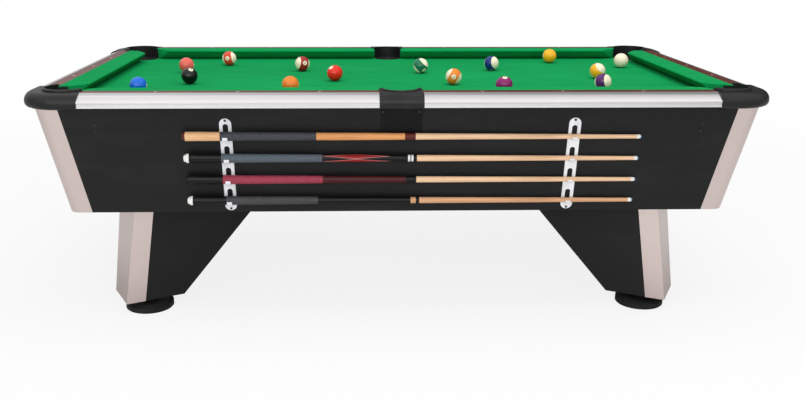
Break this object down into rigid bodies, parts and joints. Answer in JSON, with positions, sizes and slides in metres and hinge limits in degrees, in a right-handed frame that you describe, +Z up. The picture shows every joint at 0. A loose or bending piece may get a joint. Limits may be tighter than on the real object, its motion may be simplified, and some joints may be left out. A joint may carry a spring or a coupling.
{
  "type": "pool table",
  "caption": "Six-pocket pool table with a slate bed, sloping black cabinet, metal corner trims, corner legs on levelling feet, cue racks, cues and balls.",
  "frame": {"origin": "on the floor under the middle of the table", "axes": "+X along the table towards the ball-return end, +Y across it away from the cue racks, +Z up"},
  "size_m": [2.362, 1.346, 0.8044],
  "materials": {
    "covered_rail": "wood rail covered with green worsted cloth",
    "covered_cushion": "gum rubber cushion under green worsted cloth",
    "bed_cloth": "green worsted cloth",
    "slate": "honed slate",
    "mahogany_laminate": "satin mahogany laminate",
    "pearl_sight": "pearl inlay",
    "rail_aluminium": "satin anodised",
    "corner_aluminium": "satin anodised",
    "black_casting": "fine grained black",
    "black_rubber": "matt black",
    "black_laminate": "black laminated board, satin",
    "leg_laminate": "black laminated board, satin",
    "plain_board": "plain board",
    "black_moulding": "black moulding",
    "pad_rubber": "black levelling pad",
    "zinc_steel": "zinc plated",
    "dark_screw": "blackened",
    "rack_metal": "pale grey powder coat",
    "black_plate": "black",
    "cue_wood": "varnished maple",
    "ball_resin": "polished phenolic resin"
  },
  "bodies": {
    "table": {"rail_near_left": "covered_rail", "rail_near_right": "covered_rail", "rail_far_left": "covered_rail", "rail_far_right": "covered_rail", "rail_left_end": "covered_rail", "rail_right_end": "covered_rail", "cushion_near_left": "covered_cushion", "cushion_near_right": "covered_cushion", "cushion_far_left": "covered_cushion", "cushion_far_right": "covered_cushion", "cushion_left_end": "covered_cushion", "cushion_right_end": "covered_cushion", "rail_trims_sides": "rail_aluminium", "rail_trims_ends": "rail_aluminium", "rail_laminate": "mahogany_laminate", "sights": "pearl_sight", "slate_bed": "slate", "bed_cloth": "bed_cloth", "rail_bolts": "zinc_steel", "corner_casting_near_left": "black_casting", "corner_casting_near_right": "black_casting", "corner_casting_far_left": "black_casting", "corner_casting_far_right": "black_casting", "side_casting_near": "black_casting", "side_casting_far": "black_casting", "pocket_liners": "black_rubber", "cabinet_corner_trims": "corner_aluminium", "side_panel_near": "black_laminate", "side_panel_far": "black_laminate", "end_panel_left": "black_laminate", "end_panel_right": "black_laminate", "cabinet_floor": "plain_board", "corner_blocks": "plain_board", "bed_beams": "plain_board", "ball_runways": "black_moulding", "ball_return_tray": "black_moulding", "leg_near_left": "leg_laminate", "leg_near_right": "leg_laminate", "leg_far_left": "leg_laminate", "leg_far_right": "leg_laminate", "leg_trims": "corner_aluminium", "leg_blocks": "plain_board", "cue_rack_left": "rack_metal", "cue_rack_right": "rack_metal", "side_pocket_plates": "black_plate", "screws": "dark_screw"},
    "foot_near_left": {"foot_pad_near_left": "pad_rubber"},
    "stem_near_left": {"foot_stem_near_left": "zinc_steel"},
    "foot_near_right": {"foot_pad_near_right": "pad_rubber"},
    "stem_near_right": {"foot_stem_near_right": "zinc_steel"},
    "foot_far_left": {"foot_pad_far_left": "pad_rubber"},
    "stem_far_left": {"foot_stem_far_left": "zinc_steel"},
    "foot_far_right": {"foot_pad_far_right": "pad_rubber"},
    "stem_far_right": {"foot_stem_far_right": "zinc_steel"},
    "cue_1": {"cue_1": "cue_wood"},
    "cue_2": {"cue_2": "cue_wood"},
    "cue_3": {"cue_3": "cue_wood"},
    "cue_4": {"cue_4": "cue_wood"},
    "object_balls": {"object_balls": "ball_resin"},
    "cue_ball": {"cue_ball": "ball_resin"}
  },
  "joints": [
    {"name": "foot_level_near_left", "type": "slide", "parent": "table", "child": "foot_near_left", "axis": [0, 0, 1], "range_m": [-0.025, 0]},
    {"name": "stem_turn_near_left", "type": "hinge", "parent": "foot_near_left", "child": "stem_near_left", "pos_m": [-0.87128, -0.42354, 0.05], "axis": [0, 0, 1], "range_deg": [-3600, 0]},
    {"name": "foot_level_near_right", "type": "slide", "parent": "table", "child": "foot_near_right", "axis": [0, 0, 1], "range_m": [-0.025, 0]},
    {"name": "stem_turn_near_right", "type": "hinge", "parent": "foot_near_right", "child": "stem_near_right", "pos_m": [0.87128, -0.42354, 0.05], "axis": [0, 0, 1], "range_deg": [-3600, 0]},
    {"name": "foot_level_far_left", "type": "slide", "parent": "table", "child": "foot_far_left", "axis": [0, 0, 1], "range_m": [-0.025, 0]},
    {"name": "stem_turn_far_left", "type": "hinge", "parent": "foot_far_left", "child": "stem_far_left", "pos_m": [-0.87128, 0.42354, 0.05], "axis": [0, 0, 1], "range_deg": [-3600, 0]},
    {"name": "foot_level_far_right", "type": "slide", "parent": "table", "child": "foot_far_right", "axis": [0, 0, 1], "range_m": [-0.025, 0]},
    {"name": "stem_turn_far_right", "type": "hinge", "parent": "foot_far_right", "child": "stem_far_right", "pos_m": [0.87128, 0.42354, 0.05], "axis": [0, 0, 1], "range_deg": [-3600, 0]},
    {"name": "cue_1_lift", "type": "slide", "parent": "table", "child": "cue_1", "axis": [0, -0.2585, 0.966], "range_m": [0, 0.035]},
    {"name": "cue_2_lift", "type": "slide", "parent": "table", "child": "cue_2", "axis": [0, -0.2585, 0.966], "range_m": [0, 0.035]},
    {"name": "cue_3_lift", "type": "slide", "parent": "table", "child": "cue_3", "axis": [0, -0.2585, 0.966], "range_m": [0, 0.035]},
    {"name": "cue_4_lift", "type": "slide", "parent": "table", "child": "cue_4", "axis": [0, -0.2585, 0.966], "range_m": [0, 0.035]},
    {"name": "object_balls_lift", "type": "slide", "parent": "table", "child": "object_balls", "axis": [0, 0, 1], "range_m": [0, 0.2]},
    {"name": "cue_ball_lift", "type": "slide", "parent": "table", "child": "cue_ball", "axis": [0, 0, 1], "range_m": [0, 0.2]}
  ],
  "couplings": [
    {"joint": "stem_turn_near_left", "follows": "foot_level_near_left", "rad_per_m": 2513.3},
    {"joint": "stem_turn_near_right", "follows": "foot_level_near_right", "rad_per_m": 2513.3},
    {"joint": "stem_turn_far_left", "follows": "foot_level_far_left", "rad_per_m": 2513.3},
    {"joint": "stem_turn_far_right", "follows": "foot_level_far_right", "rad_per_m": 2513.3}
  ]
}
